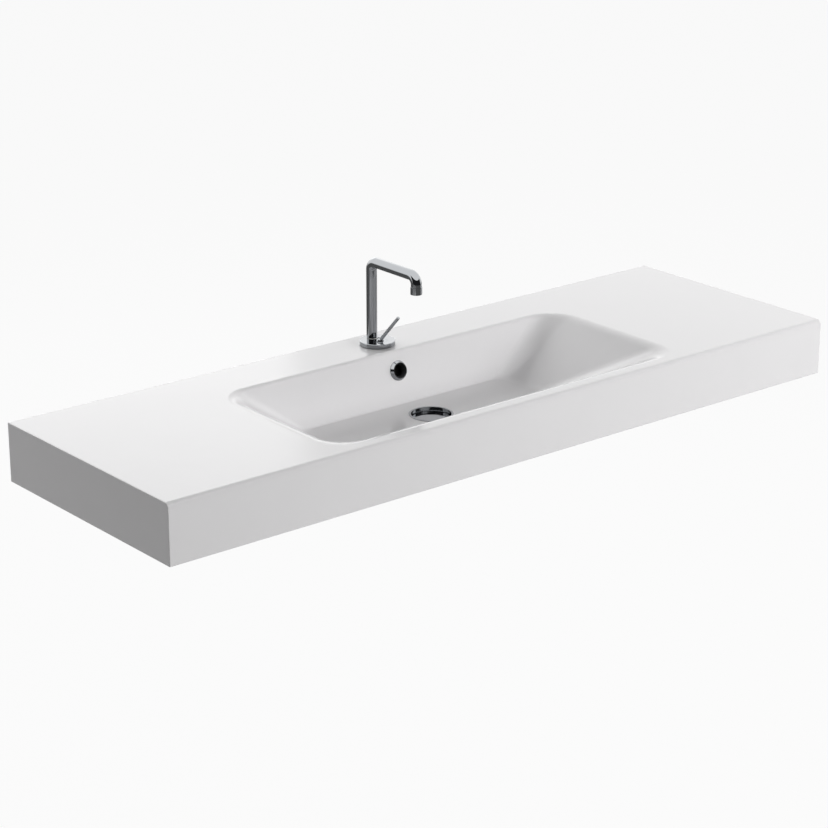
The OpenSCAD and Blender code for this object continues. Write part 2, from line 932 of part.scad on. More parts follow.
module spout_nipple() {
    color("goldenrod")
        at_pipe()
            difference() {
                rod(nipple_r, nipple_low, nipple_top);
                rod(nipple_bore_r, nipple_low - over, nipple_top + over);
                for (z = oring_heights)
                    ring(nipple_r + over, groove_r, z - oring_groove / 2, z + oring_groove / 2);
                ring(nipple_r + over, groove_r, lock_z - lock_groove / 2, lock_z + lock_groove / 2);
            }
}

module spout_orings() {
    color("black")
        at_pipe()
            for (z = oring_heights)
                translate([0, 0, z])
                    rotate_extrude()
                        translate([groove_r + oring_r, 0])
                            circle(r = oring_r, $fn = 24);
}

module glide_ring() {
    color("whitesmoke")
        at_pipe()
            ring(pipe_r, nipple_r + 0.1, plate_top, plate_top + glide_t);
}

// Quarter bend of a solid of radius r about the given centre, starting at an angle in the YZ plane
module pipe_bend(r, centre, start) {
    translate(centre)
        rotate([90, 0, 90])
            rotate([0, 0, start])
                rotate_extrude(angle = 90)
                    translate([bend_r, 0])
                        circle(r = r, $fn = 48);
}

// The pipe's run as a solid of radius r, from z_low at its foot to z_end at its outlet
module pipe_run(r, z_low, z_end) {
    bend_z = pipe_axis_z - bend_r;
    at_pipe() {
        rod(r, z_low, bend_z);
        pipe_bend(r, [0, -bend_r, bend_z], 0);
        translate([0, -bend_r, pipe_axis_z])
            rotate([90, 0, 0])
                cylinder(r = r, h = spout_reach - 2 * bend_r);
        pipe_bend(r, [0, bend_r - spout_reach, bend_z], 90);
        translate([0, -spout_reach, 0])
            rod(r, z_end, bend_z);
    }
}

// Frame at the lock screw, with its local Z pointing back through the pipe's wall
module at_lock() {
    translate([0, pipe_y, lock_z])
        rotate([-90, 0, 0])
            children();
}

module spout_pipe() {
    color("silver")
        difference() {
            union() {
                pipe_run(pipe_r, pipe_foot, collar_seat);
                at_outlet()
                    rod(spigot_r, spigot_low, collar_seat + over);
            }
            pipe_run(pipe_bore_r, pipe_foot - over, spigot_low - over);
            at_lock()
                cylinder(r = screw_r + thread_clear, h = pipe_r + over);
        }
}

module spout_grub_screw() {
    color("gray")
        at_lock()
            difference() {
                rod(screw_r, groove_r + 0.4, pipe_r - 0.1);
                translate([0, 0, pipe_r - 1.2])
                    cylinder(r = 0.6 * screw_r, h = 2, $fn = 6);
            }
}

module aerator_collar() {
    sill_z = outlet_z + collar_sill;
    color("silver")
        at_outlet()
            difference() {
                rod(collar_r, outlet_z, collar_seat);
                rod(spigot_r + thread_clear, sill_z, collar_seat + over);
                rod(spigot_r - aerator_lip, outlet_z - over, sill_z + over);
            }
}

module aerator_washer() {
    color("black")
        at_outlet()
            ring(spigot_r, spigot_r - 1.6, spigot_low - washer_t, spigot_low);
}

module aerator_insert() {
    cell = 2.4;
    cell_r = 0.8;
    top = spigot_low - washer_t;
    sill_z = outlet_z + collar_sill;
    color("gainsboro")
        at_outlet()
            difference() {
                union() {
                    rod(spigot_r, sill_z, top);
                    rod(spigot_r - aerator_lip - thread_clear, outlet_z + 0.2, sill_z + over);
                }
                for (i = [-2:2], j = [-2:2])
                    if (i * i + j * j + i * j <= 4)
                        translate([cell * (i + j / 2), cell * j * sin(60), 0])
                            rod(cell_r, outlet_z - over, top + over);
            }
}

basin();
overflow_ring();
waste_body();
flange_seal();
lower_gasket();
slip_washer();
backnut();
plug_cap();
plug_seal();
plug_plunger();
click_housing();
plug_spring();
tap_body();
base_gasket();
deck_washer_rubber();
deck_washer_steel();
shank_nut();
cartridge_housing();
ceramic_disc_fixed();
ceramic_disc_moving();
cartridge_rotor();
ball_seat();
cartridge_nut();
lever_cover();
lever_ball();
lever_rod();
spout_nipple();
spout_orings();
glide_ring();
spout_pipe();
spout_grub_screw();
aerator_collar();
aerator_washer();
aerator_insert();
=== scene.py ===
"""Wall-hung slab washbasin, dressed for rendering round its CAD frame."""

import json
import math

import bmesh
import bpy
from mathutils import Matrix, Vector


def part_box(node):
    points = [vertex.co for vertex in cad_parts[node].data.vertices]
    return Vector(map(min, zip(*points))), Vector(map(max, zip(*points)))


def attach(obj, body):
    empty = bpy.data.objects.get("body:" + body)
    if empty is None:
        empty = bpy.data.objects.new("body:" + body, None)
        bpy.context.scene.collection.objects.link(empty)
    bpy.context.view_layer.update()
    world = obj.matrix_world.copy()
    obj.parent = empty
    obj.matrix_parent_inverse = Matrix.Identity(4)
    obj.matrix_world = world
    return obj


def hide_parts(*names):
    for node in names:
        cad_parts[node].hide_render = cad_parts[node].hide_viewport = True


bl_info = {
    "name": "Slab washbasin",
    "version": (1, 0, 0),
    "blender": (4, 5, 0),
    "location": "3D View > Sidebar > Washbasin",
    "description": "Builds a wall-hung slab washbasin with its tap and waste",
    "category": "Add Mesh",
}

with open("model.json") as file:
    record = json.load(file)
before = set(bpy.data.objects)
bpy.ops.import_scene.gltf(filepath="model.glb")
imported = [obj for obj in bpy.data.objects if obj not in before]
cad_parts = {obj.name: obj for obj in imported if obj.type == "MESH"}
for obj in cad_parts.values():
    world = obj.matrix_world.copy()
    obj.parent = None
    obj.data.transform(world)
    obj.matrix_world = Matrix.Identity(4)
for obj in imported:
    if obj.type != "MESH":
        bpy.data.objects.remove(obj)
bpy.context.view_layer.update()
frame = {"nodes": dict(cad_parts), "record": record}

MM = 0.001
OVER = 1.0
# Sizes of the slab and the bowl in millimetres, as in the CAD source
APRON_T = 14.0
DECK_T = 14.0
FLOOR_Z = -43.0
FLOOR_T = 12.0
BOWL_DEPTH = 88.0
FLOOR_HALF = 226.0
FLOOR_BACK = -131.0
FLOOR_FRONT = -277.0
END_RUN = 140.0
BACK_RUN = 25.0
FRONT_RUN = 141.0
WALL_T = 11.0
END_ANGLE = math.atan2(BOWL_DEPTH, END_RUN)
BACK_ANGLE = math.atan2(BOWL_DEPTH, BACK_RUN)
FRONT_ANGLE = math.atan2(BOWL_DEPTH, FRONT_RUN)
END_LOW_R = 40.0
END_TOP_R = 45.0
BACK_LOW_R = 4.0
BACK_TOP_R = 10.0
FRONT_TOP_R = 30.0
BACK_CORNER_R = (24.0, 66.0)
FRONT_CORNER_R = (62.0, 52.0)
CORNER_FLARE = 4.0
# Steps of the curves at the bowl's foot and rim, round its corners, and round those of its underside
FOOT_STEPS = 12
RIM_STEPS = 18
CORNER_STEPS = 20
SHELL_STEPS = 12
# Radii of the slab's other edges
APRON_FOOT_R = 2.0
WALL_EDGE_R = 1.5
END_EDGE_R = 1.3
HOLLOW_EDGE_R = 7.0
RIB_EDGE_R = 3.0
# Ribs and bolt bosses in the hollow, whose cutter reaches below the slab
HOLLOW_REACH = 20.0
RIB_X = 430.0
RIB_HALF = 6.0
RIB_SHORT = 12.0
BOLT_X = 500.0
BOLT_HOLE_R = 7.0
BOLT_BOSS_R = 22.0
BOLT_BOSS_LEN = 26.0
BOLT_BOSS_EDGE_R = 3.0
# Waste, overflow and fixings
DRAIN_Y = -204.0
RECESS_R = 36.6
RECESS_Z = -57.5
BOSS_R = 46.6
BOSS_Z = -83.0
WASTE_HOLE_R = 23.0
CHANNEL_TOP = -66.0
CHANNEL_LOW = -77.0
CHANNEL_W = 42.0
CHANNEL_GAP = 11.0
CHANNEL_WALL = 8.0
CHANNEL_SKIN = 6.0
SKIN_SINK = 2.0
SKIN_EDGE_R = 4.0
BOSS_EDGE_R = 2.0
OVERFLOW_Z = 11.9
OVERFLOW_HOLE_R = 12.6
OVERFLOW_HOLE_DEPTH = 12.0
OVERFLOW_MOUTH_R = 13.0
# A thread is given by where its turns start and end, its depth and its pitch
NECK_R = 20.95
NECK_THREAD = (-125.0, -80.0, 1.1, 2.309)
# Ridges of a thread: share of its depth, how near and how far past it the CAD's plain cylinder is cut back
RIDGE_SHARE = 0.6
THREAD_NEAR = 0.06
THREAD_RUNOUT = 0.5
THREAD_STEPS = 48
# Tap
SHANK_Y = -62.99
SHANK_R = 16.5
SHANK_THREAD = (3.8, 42.0, 0.8, 1.5)
TAP_HOLE_R = 17.5
LEVER_Y = -65.494
PLATE_TOP = 53.5
PIPE_Y = -43.024
PIPE_R = 9.25
PIPE_WALL = 1.5
PIPE_FOOT = 54.4
PIPE_AXIS_Z = 191.0
BEND_R = 14.5
BEND_STEPS = 28
ROUND_STEPS = 96
OUTLET_Y = -164.024
COLLAR_SEAT = 173.0
LEVER_LEN = 74.0
LEVER_LEAN = math.radians(43.5)
LEVER_LOW = 5.6
LEVER_R = 3.0
LEVER_EDGE_R = 0.35
LEVER_TIP_R = 1.4
PEG_LOW = 1.4
PEG_R = 2.0
PEG_EDGE_R = 0.3
# CAD meshes: metres between points that are one, angle between faces that are one, degrees at a sharp edge
MERGE = 2e-6
FLAT_ANGLE = math.radians(0.3)
METAL_EDGE = 35
# Sine of the angle past which a face doesn't belong to the round about its axis
OFF_ROUND = 0.05
# Camera, in metres, degrees and millimetres of lens
CAMERA_PLACE = (-2.5280, -3.2380, 1.3642)
CAMERA_DOWN = 19.612
CAMERA_YAW = -39.378
CAMERA_LENS = 107.3
CAMERA_SENSOR = 36.0
CAMERA_REACH = 50
# Floor, in metres, with the share of its own light that the camera sees and that light's strength
FLOOR_REACH = 12.0
FLOOR_GLOW_SHARE = 0.965
FLOOR_GLOW = 0.975
# Sheets of painted dark reflection, which only glaze and chrome mirror, in metres
SHEET_LIFT = 0.005
SHEET_R = 5.5
SHEET_TOP = 3.0
SHEET_FLOOR_R = 6.0
SHEET_STEPS = 24
# Softboxes: name, place, width, height, the setting of their power, their share of it, and whether glaze and
# chrome mirror them. The mirrored share at the back left is small, or the glaze that faces it clips to white.
LAMP_TARGET = (0, -0.25, 0)
SOFTBOXES = (
    ("back_softbox", (0.4, 2.6, 1.9), 4.0, 1.2, "back_power", 1.0, False),
    ("right_softbox", (3.2, -0.4, 0.8), 1.6, 1.2, "right_power", 1.0, False),
    ("front_right_softbox", (2.6, -2.6, 0.9), 1.6, 1.2, "key_power", 1.0, False),
    ("front_softbox", (1.0, -3.2, 1.25), 2.0, 1.2, "front_power", 1.0, False),
    ("back_left_softbox", (-2.2, 2.8, 1.1), 3.0, 1.2, "left_power", 0.7, False),
    ("glint_softbox", (-2.2, 2.8, 1.1), 3.0, 1.2, "left_power", 0.3, True),
    ("sheen_softbox", (0.95, 2.8, 1.25), 1.7, 1.2, "sheen_power", 1.0, True))

MATERIALS = {}
# The slab's finishes, with the painted shade of its overflow channel, in the order of its material indices
CLAYS = ("white_fireclay_glaze", "bare_fireclay", "channel_painted_shade")
BARE = 1
# Index of the near-black painted shade in the overflow channel and its hole
PAINTED_SHADE = 2
# The slab's wall face and foot stay unglazed: how squarely a face must look that way, and metres from there
FACING = 0.9
NEAR_WALL = 0.0005
NEAR_FOOT = 0.0002
FROM_WALL = Matrix.Rotation(math.radians(90), 3, "X")


def linear(code):
    """Turns an sRGB hex code into linear RGBA."""
    channels = [int(code[i:i + 2], 16) / 255 for i in (0, 2, 4)]
    return tuple(c / 12.92 if c <= 0.04045 else ((c + 0.055) / 1.055) ** 2.4 for c in channels) + (1.0,)


def add_node(tree, kind, links=None, **settings):
    """Adds a node with its settings; links gives each input a value or another node's output."""
    node = tree.nodes.new(kind)
    for key, value in settings.items():
        setattr(node, key, value)
    for key, value in (links or {}).items():
        if isinstance(value, bpy.types.NodeSocket):
            tree.links.new(value, node.inputs[key])
        else:
            node.inputs[key].default_value = value
    return node


def surface(name, colours, tone_mm, rough, grain_mm, grain_depth_mm, metallic=0.0, ior=1.5,
            stretch=(1, 1, 1)):
    """Makes a material from two close tones, a range of roughness and a fine relief, all from real sizes."""
    material = bpy.data.materials.new(name)
    material.use_nodes = True
    tree = material.node_tree
    tree.nodes.clear()
    place = add_node(tree, "ShaderNodeTexCoord").outputs["Object"]
    place = add_node(tree, "ShaderNodeMapping", {"Vector": place, "Scale": stretch}).outputs["Vector"]
    tone = add_node(tree, "ShaderNodeTexNoise", {
        "Vector": place, "Scale": 1 / (tone_mm * MM), "Detail": 3.0, "Roughness": 0.5}).outputs["Fac"]
    mix = add_node(tree, "ShaderNodeMix", {
        0: tone, 6: linear(colours[0]), 7: linear(colours[1])}, data_type="RGBA")
    roughness = add_node(tree, "ShaderNodeMapRange", {
        "Value": tone, "From Min": 0.35, "From Max": 0.65, "To Min": rough[0], "To Max": rough[1]})
    grain = add_node(tree, "ShaderNodeTexNoise", {
        "Vector": place, "Scale": 1 / (grain_mm * MM), "Detail": 2.0, "Roughness": 0.5}).outputs["Fac"]
    relief = add_node(tree, "ShaderNodeBump", {
        "Height": grain, "Strength": 1.0, "Distance": grain_depth_mm * MM})
    shader = add_node(tree, "ShaderNodeBsdfPrincipled", {
        "Base Color": mix.outputs[2], "Roughness": roughness.outputs["Result"],
        "Normal": relief.outputs["Normal"], "Metallic": metallic})
    if not metallic:
        shader.inputs["IOR"].default_value = ior
    add_node(tree, "ShaderNodeOutputMaterial", {"Surface": shader.outputs["BSDF"]})
    MATERIALS[name] = material


def make_materials():
    """Makes every finish on the basin, each from what the real one is, and the painted shade in the
    overflow's channel and ring.
    """
    # White fireclay glaze: a thick glossy coat that lies in shallow waves a finger's width apart
    surface("white_fireclay_glaze", ("F3F2F3", "F0EFF0"), 90, (0.13, 0.17), 14, 0.018, ior=1.52)
    # Fireclay fired without glaze: chalky and warm, with a grain like fine sandpaper
    surface("bare_fireclay", ("E6E0D3", "DCD4C4"), 25, (0.8, 0.92), 1.2, 0.12, ior=1.5)
    # Inside of the overflow channel and its hole: unglazed clay coloured near black, a painted shade that
    # makes the hole look dark
    surface("channel_painted_shade", ("2A2824", "211F1C"), 20, (0.6, 0.8), 1.2, 0.12, ior=1.5)
    # Inside of the overflow ring's mouth: near black, a painted shade that makes the hole look dark
    surface("ring_mouth_painted_shade", ("101012", "161618"), 6, (0.7, 0.85), 0.8, 0.01, ior=1.46)
    # Chrome plate on polished brass: a dark mirror with faint wiping marks
    surface("chrome_plated_brass", ("9C9EA0", "949699"), 30, (0.045, 0.085), 5, 0.0015, metallic=1.0)
    # Turned brass: satin, with lathe marks along the cut
    surface("turned_brass", ("C79F5E", "B68C4C"), 8, (0.26, 0.38), 0.8, 0.01, metallic=1.0, stretch=(1, 1, 4))
    # Nitrile rubber: matt black, with a moulded skin
    surface("nitrile_rubber", ("1B1B1D", "232325"), 6, (0.6, 0.75), 0.7, 0.03, ior=1.52)
    # White nylon washers: smooth and slightly waxy
    surface("white_nylon", ("E9E8E2", "DEDDD6"), 10, (0.4, 0.5), 1.0, 0.01, ior=1.53)
    # Moulded acetal of the cartridge: ivory, satin
    surface("ivory_acetal", ("DCD6C6", "D2CBB9"), 8, (0.32, 0.42), 1.0, 0.008, ior=1.48)
    # Lapped alumina discs: pale, with a silky face
    surface("lapped_alumina", ("EDE7DB", "E3DCCE"), 6, (0.22, 0.3), 0.6, 0.003, ior=1.76)
    # Stainless steel: drawn or pressed, with a fine brushed grain
    surface("stainless_steel", ("A6A8AA", "989A9D"), 6, (0.22, 0.34), 0.5, 0.006, metallic=1.0,
            stretch=(1, 1, 3))
    # Grey moulded plastic of the outlet's insert
    surface("grey_aerator_plastic", ("A7A9AB", "9B9DA0"), 5, (0.3, 0.4), 0.8, 0.006, ior=1.49)


# Meshes

def linked(name, data):
    """Makes an object from its data and links it to the scene."""
    made = bpy.data.objects.new(name, data)
    bpy.context.scene.collection.objects.link(made)
    return made


def taken(scratch):
    """Takes a scratch object's mesh and removes the object."""
    mesh = scratch.data
    bpy.data.objects.remove(scratch)
    return mesh


def new_piece(name, mesh, materials, body, *replaced):
    """Links a mesh as a piece with its finishes, to ride on a body in place of CAD nodes."""
    piece = linked(name, mesh)
    while len(mesh.materials) < len(materials):
        mesh.materials.append(None)
    while len(mesh.materials) > len(materials):
        mesh.materials.pop()
    for index, material in enumerate(materials):
        mesh.materials[index] = MATERIALS[material]
    if replaced:
        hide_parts(*replaced)
    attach(piece, body)
    return piece


def solid(name, points, faces, index=0):
    """Makes a scratch object from points in millimetres, its faces pointing outwards."""
    mesh = bpy.data.meshes.new(name)
    mesh.from_pydata([Vector(p) * MM for p in points], [], faces)
    shape = bmesh.new()
    shape.from_mesh(mesh)
    bmesh.ops.remove_doubles(shape, verts=shape.verts, dist=1e-7)
    bmesh.ops.recalc_face_normals(shape, faces=shape.faces)
    for face in shape.faces:
        face.material_index = index
    shape.to_mesh(mesh)
    shape.free()
    for material in CLAYS:
        mesh.materials.append(MATERIALS[material])
    return linked(name, mesh)


def face_outward(mesh):
    """Points a mesh's faces outwards."""
    shape = bmesh.new()
    shape.from_mesh(mesh)
    bmesh.ops.recalc_face_normals(shape, faces=shape.faces)
    shape.to_mesh(mesh)
    shape.free()


def baked(scratch):
    """Turns a scratch object's modifiers into a plain mesh and removes the object."""
    bpy.context.view_layer.update()
    graph = bpy.context.evaluated_depsgraph_get()
    mesh = bpy.data.meshes.new_from_object(scratch.evaluated_get(graph), depsgraph=graph)
    bpy.data.objects.remove(scratch)
    return mesh


def combine(base, tools, operation):
    """Adds the tools to the base or cuts them away, one after another."""
    for tool in tools:
        step = base.modifiers.new("step", "BOOLEAN")
        step.operation = operation
        step.solver = "EXACT"
        step.material_mode = "INDEX"
        step.object = tool
        mesh = baked(base)
        bpy.data.objects.remove(tool)
        base = linked("scratch", mesh)
    return base


def bevel_sharp(scratch, width, segments=3, angle=40):
    """Rounds a scratch object's sharp edges."""
    step = scratch.modifiers.new("edge", "BEVEL")
    step.width = width * MM
    step.segments = segments
    step.limit_method = "ANGLE"
    step.angle_limit = math.radians(angle)
    step.miter_outer = "MITER_ARC"
    return linked("scratch", baked(scratch))


def shade(mesh, angle=32):
    """Smooths curved faces and keeps edges sharper than the angle."""
    for face in mesh.polygons:
        face.use_smooth = True
    mesh.set_sharp_from_angle(angle=math.radians(angle))


def weighted(mesh):
    """Gives large flat faces the say in their corners' normals, so that curves run into them cleanly."""
    shade(mesh)
    scratch = linked("scratch", mesh)
    step = scratch.modifiers.new("normals", "WEIGHTED_NORMAL")
    step.keep_sharp = True
    step.weight = 60
    return baked(scratch)


def box(low, high, index=0):
    """Box between two corners."""
    points = [(x, y, z) for x in (low[0], high[0]) for y in (low[1], high[1]) for z in (low[2], high[2])]
    faces = [(0, 1, 3, 2), (4, 6, 7, 5), (0, 4, 5, 1), (2, 3, 7, 6), (0, 2, 6, 4), (1, 5, 7, 3)]
    return solid("box", points, faces, index)


def rounded(corners, closed=True, steps=6):
    """Outline with a curve at each corner; a corner is (x, y, radius)."""
    outline = []
    count = len(corners)
    for i, (x, y, radius) in enumerate(corners):
        here = Vector((x, y))
        if radius <= 0 or (not closed and i in (0, count - 1)):
            outline.append((x, y))
            continue
        before = (Vector(corners[i - 1][:2]) - here).normalized()
        after = (Vector(corners[(i + 1) % count][:2]) - here).normalized()
        half = before.angle(after) / 2
        centre = here + (before + after).normalized() * (radius / math.sin(half))
        reach = radius / math.tan(half)
        start = here + before * reach - centre
        end = here + after * reach - centre
        first = math.atan2(start.y, start.x)
        turn = (math.atan2(end.y, end.x) - first + math.pi) % (2 * math.pi) - math.pi
        for k in range(steps + 1):
            a = first + turn * k / steps
            outline.append((centre.x + radius * math.cos(a), centre.y + radius * math.sin(a)))
    return outline


def prism_x(outline, low, high, index=0):
    """Prism along X from an outline of (y, z)."""
    n = len(outline)
    points = [(x, y, z) for x in (low, high) for y, z in outline]
    faces = [tuple(range(n)), tuple(range(2 * n - 1, n - 1, -1))]
    faces += [(i, (i + 1) % n, n + (i + 1) % n, n + i) for i in range(n)]
    return solid("prism", points, faces, index)


def lathe(outline, centre, turn=None, segments=ROUND_STEPS, index=0):
    """Turns a line of (radius, height) about Z, then turns it with a matrix and moves it to its centre."""
    count = len(outline)
    points = []
    for k in range(segments):
        a = 2 * math.pi * k / segments
        points += [Vector((r * math.cos(a), r * math.sin(a), z)) for r, z in outline]
    faces = []
    for k in range(segments):
        here = k * count
        there = ((k + 1) % segments) * count
        for i in range(count - 1):
            j = i + 1
            ring = [here + i, here + j, there + j, there + i]
            if outline[i][0] == 0:
                ring.pop(3)
            if outline[j][0] == 0:
                ring.pop(2 if len(ring) == 4 else 1)
            if len(ring) > 2:
                faces.append(tuple(ring))
    if turn:
        points = [turn @ p for p in points]
    return solid("turned", [p + Vector(centre) for p in points], faces, index)


def rod(radius, low, high, centre, index=0, edge=0.0):
    """Upright cylinder at a place in plan."""
    outline = rounded([(0, low, 0), (radius, low, edge), (radius, high, edge), (0, high, 0)], closed=False)
    return lathe(outline, (centre[0], centre[1], 0), index=index)


# Bowl

def wall_run(h, angle, low_r, top_r):
    """Horizontal run of a sloping wall at height h, with a curve at its foot and at its top."""
    if h < low_r * (1 - math.cos(angle)):
        return -low_r * math.tan(angle / 2) + math.sqrt(max(0.0, low_r ** 2 - (low_r - h) ** 2))
    if BOWL_DEPTH - h < top_r * (1 - math.cos(angle)):
        rest = math.sqrt(max(0.0, top_r ** 2 - (top_r - BOWL_DEPTH + h) ** 2))
        return BOWL_DEPTH / math.tan(angle) + top_r * math.tan(angle / 2) - rest
    return h / math.tan(angle)


def outline_ring(half, front, back, front_r, back_r, z, steps):
    """Ring of a box with round corners, from the right back corner round by the left."""
    ring = []
    for corner in range(4):
        side = 1 if corner in (0, 3) else -1
        r = back_r if corner < 2 else front_r
        cx = side * (half - r)
        cy = back - r if corner < 2 else front + r
        for i in range(steps + 1):
            a = math.radians(90 * (corner + i / steps))
            ring.append((cx + r * math.cos(a), cy + r * math.sin(a), z))
    return ring


def bowl_ring(h):
    """Ring of the bowl's inner face at height h above its floor."""
    end = wall_run(h, END_ANGLE, END_LOW_R, END_TOP_R)
    foot = wall_run(0, END_ANGLE, END_LOW_R, END_TOP_R)
    rim = wall_run(BOWL_DEPTH, END_ANGLE, END_LOW_R, END_TOP_R)
    spread = ((end - foot) / (rim - foot)) ** CORNER_FLARE
    return outline_ring(
        FLOOR_HALF + end,
        FLOOR_FRONT - wall_run(h, FRONT_ANGLE, END_LOW_R, FRONT_TOP_R),
        FLOOR_BACK + wall_run(h, BACK_ANGLE, BACK_LOW_R, BACK_TOP_R),
        FRONT_CORNER_R[0] + (FRONT_CORNER_R[1] - FRONT_CORNER_R[0]) * spread,
        BACK_CORNER_R[0] + (BACK_CORNER_R[1] - BACK_CORNER_R[0]) * spread,
        FLOOR_Z + h, CORNER_STEPS)


def shell_ring(z):
    """Ring of the bowl's underside at height z."""
    rise = z - FLOOR_Z
    return outline_ring(
        FLOOR_HALF + rise / math.tan(END_ANGLE) + WALL_T / math.sin(END_ANGLE),
        FLOOR_FRONT - rise / math.tan(FRONT_ANGLE) - WALL_T / math.sin(FRONT_ANGLE),
        back_wall_y(z) + WALL_T / math.sin(BACK_ANGLE),
        FRONT_CORNER_R[0], BACK_CORNER_R[0] + WALL_T, z, SHELL_STEPS)


def back_wall_y(z):
    """Y of the back wall's straight part at height z."""
    return FLOOR_BACK + (z - FLOOR_Z) / math.tan(BACK_ANGLE)


def loft(rings, index=0):
    """Closed solid through a stack of rings."""
    n = len(rings[0])
    faces = [tuple(range(n)), tuple(range(len(rings) * n - 1, (len(rings) - 1) * n - 1, -1))]
    for k in range(len(rings) - 1):
        for i in range(n):
            a = k * n + i
            b = k * n + (i + 1) % n
            faces.append((a, b, b + n, a + n))
    return solid("loft", [p for ring in rings for p in ring], faces, index)


def slab_solid(low, high, edge):
    """Outside of the slab, with its rounded front edge."""
    outline = rounded([
        (low[1], low[2], APRON_FOOT_R), (low[1], high[2], edge),
        (high[1], high[2], WALL_EDGE_R), (high[1], low[2], WALL_EDGE_R)], steps=8)
    return bevel_sharp(prism_x(outline, low[0], high[0]), END_EDGE_R)


def hollow_solid(low, high):
    """Space under the deck: a box with cast corners, less the bowl, the ribs and the bosses."""
    space = box((low[0] + APRON_T, low[1] + APRON_T, low[2] - HOLLOW_REACH),
                (high[0] - APRON_T, high[1] - APRON_T, high[2] - DECK_T), BARE)
    space = bevel_sharp(space, HOLLOW_EDGE_R, 4)
    solids = [loft([shell_ring(FLOOR_Z - FLOOR_T), shell_ring(high[2])], BARE)]
    boss = rounded([(0, 0, 0), (BOLT_BOSS_R, 0, 0), (BOLT_BOSS_R, BOLT_BOSS_LEN, BOLT_BOSS_EDGE_R),
                    (0, BOLT_BOSS_LEN, 0)], closed=False)
    for side in (-1, 1):
        rib = box((side * RIB_X - RIB_HALF, low[1], low[2] + RIB_SHORT),
                  (side * RIB_X + RIB_HALF, high[1], high[2]), BARE)
        solids.append(bevel_sharp(rib, RIB_EDGE_R))
        solids.append(lathe(boss, (side * BOLT_X, 0, 0), FROM_WALL, index=BARE))
    return combine(space, solids, "DIFFERENCE")


def channel_outline(gap, top, low, out, inner, edge=0):
    """Outline in (y, z) of the overflow channel's skin or of its space; inner is its corner by the bowl."""
    return rounded([
        (back_wall_y(top) + gap, top, 0), (back_wall_y(top) + gap + out, top, edge),
        (back_wall_y(low) + gap + out, low, edge), (DRAIN_Y, low, 0),
        (DRAIN_Y, inner[1], 0), (inner[0], inner[1], 0)])


def make_basin(sizes):
    """Builds the fireclay slab with its bowl, its hollow underside and its holes."""
    low, high = [Vector(c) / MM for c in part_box("basin")]
    low.z = high.z - sizes.edge_height / MM
    body = slab_solid(low, high, sizes.front_edge_radius / MM)
    body = combine(body, [hollow_solid(low, high)], "DIFFERENCE")
    head = OVERFLOW_Z + OVERFLOW_HOLE_R + OVER
    skin = channel_outline(SKIN_SINK, head + CHANNEL_SKIN - SKIN_SINK, BOSS_Z,
                           CHANNEL_WALL + CHANNEL_GAP + CHANNEL_SKIN - SKIN_SINK,
                           (FLOOR_BACK, FLOOR_Z - SKIN_SINK), SKIN_EDGE_R)
    skin_half = CHANNEL_W / 2 + CHANNEL_SKIN
    body = combine(body, [
        prism_x(skin, -skin_half, skin_half, BARE),
        rod(BOSS_R, BOSS_Z, FLOOR_Z - SKIN_SINK, (0, DRAIN_Y), BARE, BOSS_EDGE_R)], "UNION")
    low_reach = END_LOW_R * (1 - math.cos(END_ANGLE))
    top_reach = BACK_TOP_R * (1 - math.cos(BACK_ANGLE))
    heights = [low_reach * (i / FOOT_STEPS) ** 2 for i in range(FOOT_STEPS + 1)]
    heights += [BOWL_DEPTH - top_reach * (1 - i / RIM_STEPS) ** 2 for i in range(RIM_STEPS + 1)]
    rings = [bowl_ring(h) for h in heights]
    rings.append([(x, y, z + OVER) for x, y, z in rings[-1]])
    channel = channel_outline(CHANNEL_WALL, head, CHANNEL_LOW, CHANNEL_GAP,
                              (back_wall_y(CHANNEL_TOP) + CHANNEL_WALL, CHANNEL_TOP))
    overflow_hole = [(0, -OVERFLOW_HOLE_DEPTH), (OVERFLOW_HOLE_R, -OVERFLOW_HOLE_DEPTH),
                     (OVERFLOW_HOLE_R, OVER), (0, OVER)]
    bolt_hole = [(0, -OVER), (BOLT_HOLE_R, -OVER), (BOLT_HOLE_R, BOLT_BOSS_LEN + OVER),
                 (0, BOLT_BOSS_LEN + OVER)]
    # The overflow channel and its hole are cut with the painted shade index, so that the hole looks dark
    cuts = [
        loft(rings),
        prism_x(channel, -CHANNEL_W / 2, CHANNEL_W / 2, PAINTED_SHADE),
        rod(RECESS_R, RECESS_Z, FLOOR_Z + OVER, (0, DRAIN_Y)),
        rod(WASTE_HOLE_R, BOSS_Z - OVER, RECESS_Z + OVER, (0, DRAIN_Y), BARE),
        lathe(overflow_hole, (0, back_wall_y(OVERFLOW_Z), OVERFLOW_Z),
              Matrix.Rotation(BACK_ANGLE, 3, "X"), index=PAINTED_SHADE),
        rod(TAP_HOLE_R, high.z - DECK_T - OVER, high.z + OVER, (0, SHANK_Y), BARE)]
    cuts += [lathe(bolt_hole, (side * BOLT_X, 0, 0), FROM_WALL, index=BARE) for side in (-1, 1)]
    body = combine(body, cuts, "DIFFERENCE")
    for face in body.data.polygons:
        on_wall = face.normal.y > FACING and face.center.y > -NEAR_WALL
        on_foot = face.normal.z < -FACING and abs(face.center.z - low.z * MM) < NEAR_FOOT
        if on_wall or on_foot:
            face.material_index = BARE
    new_piece("basin_slab", weighted(taken(body)), CLAYS, "basin", "basin")


# Metal parts

